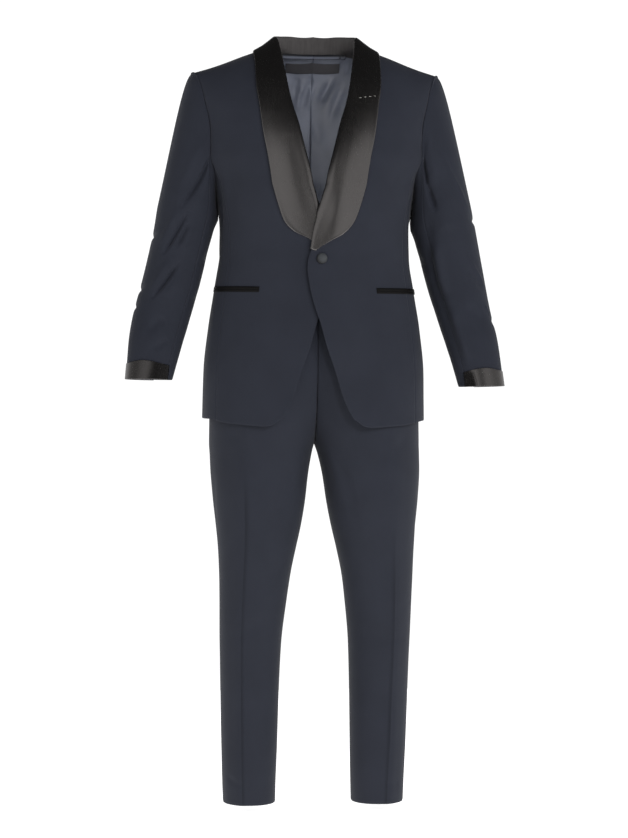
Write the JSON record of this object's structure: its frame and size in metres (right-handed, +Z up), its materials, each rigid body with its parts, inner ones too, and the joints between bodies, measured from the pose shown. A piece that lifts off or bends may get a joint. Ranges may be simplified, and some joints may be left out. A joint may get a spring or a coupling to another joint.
{
  "type": "dinner suit, shawl-collared jacket and trousers",
  "caption": "Dinner suit filled out as if worn: a one-button jacket with satin shawl collar, cuffs and pocket jets, over plain creased trousers.",
  "frame": {"origin": "centre of the jacket at the height of the shoulders, where the wearer carries it; the mount named shoulders", "axes": "+Z up, the front faces -Y, the wearer's left is towards +X"},
  "size_m": [0.7636, 0.2835, 1.5525],
  "materials": {
    "navy_wool": "matte, fine plain-weave wool",
    "black_satin": "satin",
    "blue_grey_lining": "soft sheen"
  },
  "bodies": {
    "root": {"cuff_left": "black_satin", "cuff_right": "black_satin", "fly_shield": "navy_wool", "front_button": "black_satin", "hanger_loop": "black_satin", "jacket_back_left": "navy_wool", "jacket_back_right": "navy_wool", "jacket_front_left": "navy_wool", "jacket_front_right": "navy_wool", "jacket_side_left": "navy_wool", "jacket_side_right": "navy_wool", "label_patch": "black_satin", "lining_back_left": "blue_grey_lining", "lining_back_right": "blue_grey_lining", "pocket_jet_lower_left": "black_satin", "pocket_jet_lower_right": "black_satin", "pocket_jet_upper_left": "black_satin", "pocket_jet_upper_right": "black_satin", "shawl_collar_left": "black_satin", "shawl_collar_right": "black_satin", "sleeve_under_left": "navy_wool", "sleeve_under_right": "navy_wool", "sleeve_upper_left": "navy_wool", "sleeve_upper_right": "navy_wool", "trouser_back_left": "navy_wool", "trouser_back_right": "navy_wool", "trouser_front_left": "navy_wool", "trouser_front_right": "navy_wool", "waistband_left": "navy_wool", "waistband_right": "navy_wool"}
  },
  "joints": []
}
